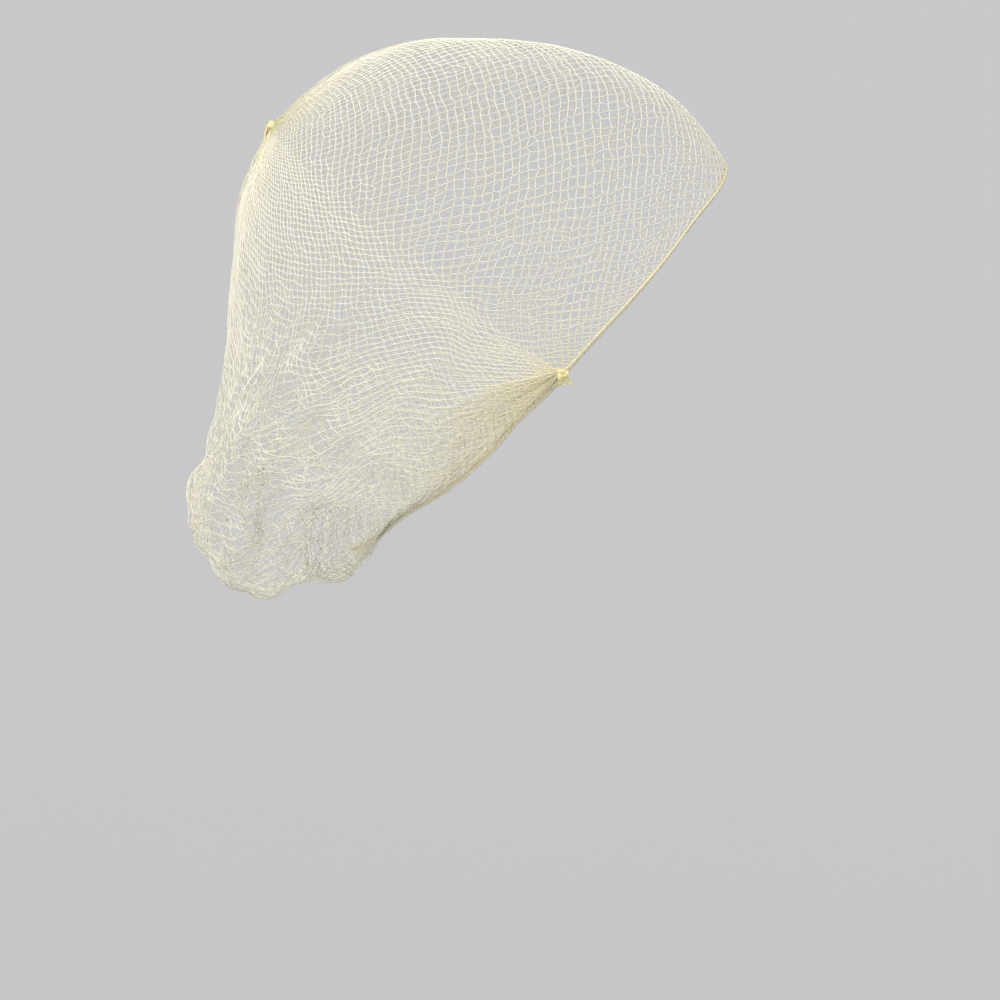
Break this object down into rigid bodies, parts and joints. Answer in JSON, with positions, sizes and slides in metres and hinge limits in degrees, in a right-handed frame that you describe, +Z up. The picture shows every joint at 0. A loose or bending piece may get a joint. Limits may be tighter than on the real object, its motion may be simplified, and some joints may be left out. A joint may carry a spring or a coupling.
{
  "type": "hairnet",
  "caption": "Stretch hairnet as worn: thin knitted net cap with a loose back pouch, elastic edge cord, two side knots and a crown knot.",
  "frame": {"origin": "inner face of the net at the top of the crown, where the wearer's head holds it up", "axes": "+X to the wearer's front, +Y to the wearer's left, +Z up"},
  "size_m": [0.2002, 0.1504, 0.208],
  "materials": {
    "net": "pale cream nylon yarn, knitted into an open diamond mesh, slightly glossy",
    "elastic": "pale yellow rubber thread wrapped in fine nylon",
    "knot": "tightly wound yarn and rubber thread, straw yellow"
  },
  "bodies": {
    "root": {"net": "net", "elastic_front": "elastic", "elastic_back": "elastic", "side_knot_right": "knot", "side_knot_left": "knot", "crown_knot": "knot"}
  },
  "joints": []
}
